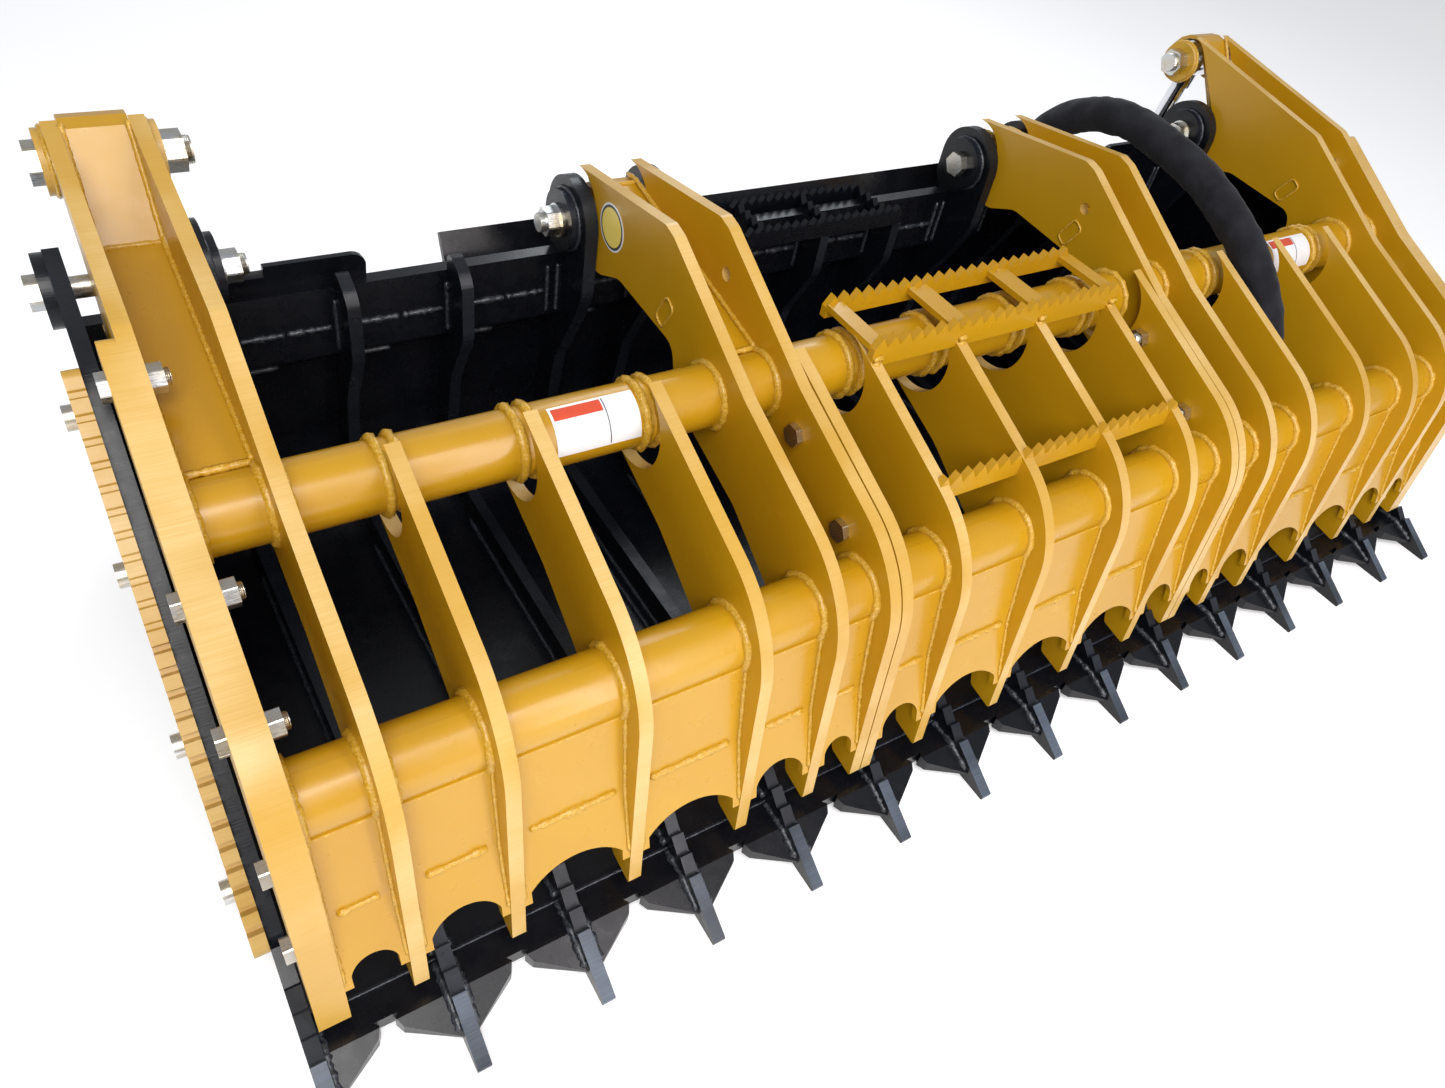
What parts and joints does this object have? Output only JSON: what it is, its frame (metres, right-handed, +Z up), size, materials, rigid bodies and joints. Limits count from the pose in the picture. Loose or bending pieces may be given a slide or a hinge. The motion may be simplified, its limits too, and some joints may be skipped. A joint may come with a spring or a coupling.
{
  "type": "grapple bucket",
  "caption": "Toothed loader bucket with a hinged skeleton clamp lid worked by two hydraulic cylinders, and a quick-attach plate behind.",
  "frame": {"origin": "middle of the footprint, on the ground plane under the teeth", "axes": "+X to the right along the width, +Y from the teeth towards the coupler, +Z up"},
  "size_m": [2.102, 0.9792, 0.6343],
  "materials": {
    "ochre_paint": "semi-gloss golden ochre enamel on laser-cut plate and tube",
    "black_paint": "semi-gloss black enamel on plate",
    "edge_steel": "black enamel with cut striations on the teeth and cutting edge",
    "zinc": "zinc-plated fasteners and fittings",
    "chrome": "hard chrome rods",
    "sleeve": "matt black woven hose sleeve"
  },
  "bodies": {
    "bucket": {"bucket_shell": "black_paint", "cutting_edge": "edge_steel", "tooth_01": "edge_steel", "tooth_02": "edge_steel", "tooth_03": "edge_steel", "tooth_04": "edge_steel", "tooth_05": "edge_steel", "tooth_06": "edge_steel", "tooth_07": "edge_steel", "tooth_08": "edge_steel", "tooth_09": "edge_steel", "tooth_10": "edge_steel", "tooth_11": "edge_steel", "tooth_12": "edge_steel", "tooth_13": "edge_steel", "tooth_14": "edge_steel", "tooth_15": "edge_steel", "rail_beam": "black_paint", "side_plate_right": "black_paint", "side_plate_left": "black_paint", "side_cutter_right": "ochre_paint", "side_cutter_left": "ochre_paint", "side_cutter_bolts": "zinc", "inner_ribs": "black_paint", "pivot_lugs": "black_paint", "lug_bosses": "black_paint", "pivot_bolts": "zinc", "rear_step": "black_paint", "coupler_plate": "black_paint", "coupler_gussets": "black_paint", "cylinder_brackets": "black_paint", "base_pins": "zinc", "wear_runners": "edge_steel", "hose_block": "zinc", "hose": "sleeve"},
    "lid": {"ribs_left": "ochre_paint", "ribs_middle": "ochre_paint", "ribs_right": "ochre_paint", "tubes_left": "ochre_paint", "tubes_middle": "ochre_paint", "tubes_right": "ochre_paint", "front_plate_left": "ochre_paint", "front_plate_middle": "ochre_paint", "front_plate_right": "ochre_paint", "lid_steps": "ochre_paint", "lid_side_left": "ochre_paint", "lid_side_right": "ochre_paint", "arm_1": "ochre_paint", "arm_2": "ochre_paint", "arm_3": "ochre_paint", "arm_4": "ochre_paint", "arm_webs": "ochre_paint", "pivot_hubs": "ochre_paint", "rod_pins": "zinc", "lid_bolts": "zinc", "hose_couplers": "zinc"},
    "barrel_left": {"barrel_left": "black_paint"},
    "barrel_right": {"barrel_right": "black_paint"},
    "rod_left": {"rod_left": "chrome"},
    "rod_right": {"rod_right": "chrome"}
  },
  "joints": [
    {"name": "lid_hinge", "type": "hinge", "parent": "bucket", "child": "lid", "pos_m": [0, 0.2947, 0.4892], "axis": [-1, 0, 0], "range_deg": [0, 50], "deforming": ["hose"]},
    {"name": "barrel_swing_left", "type": "hinge", "parent": "bucket", "child": "barrel_left", "pos_m": [-0.9425, 0.4504, 0.12], "axis": [-1, 0, 0], "range_deg": [0, 4.86]},
    {"name": "rod_slide_left", "type": "slide", "parent": "barrel_left", "child": "rod_left", "axis": [0, 0.1435, -0.9897], "range_m": [0, 0.1042]},
    {"name": "barrel_swing_right", "type": "hinge", "parent": "bucket", "child": "barrel_right", "pos_m": [0.9425, 0.4504, 0.12], "axis": [-1, 0, 0], "range_deg": [0, 4.86]},
    {"name": "rod_slide_right", "type": "slide", "parent": "barrel_right", "child": "rod_right", "axis": [0, 0.1435, -0.9897], "range_m": [0, 0.1042]}
  ],
  "couplings": [
    {"joint": "barrel_swing_left", "follows": "lid_hinge", "ratio": 0.097},
    {"joint": "rod_slide_left", "follows": "lid_hinge", "m_per_rad": 0.11918},
    {"joint": "barrel_swing_right", "follows": "lid_hinge", "ratio": 0.097},
    {"joint": "rod_slide_right", "follows": "lid_hinge", "m_per_rad": 0.11918}
  ]
}
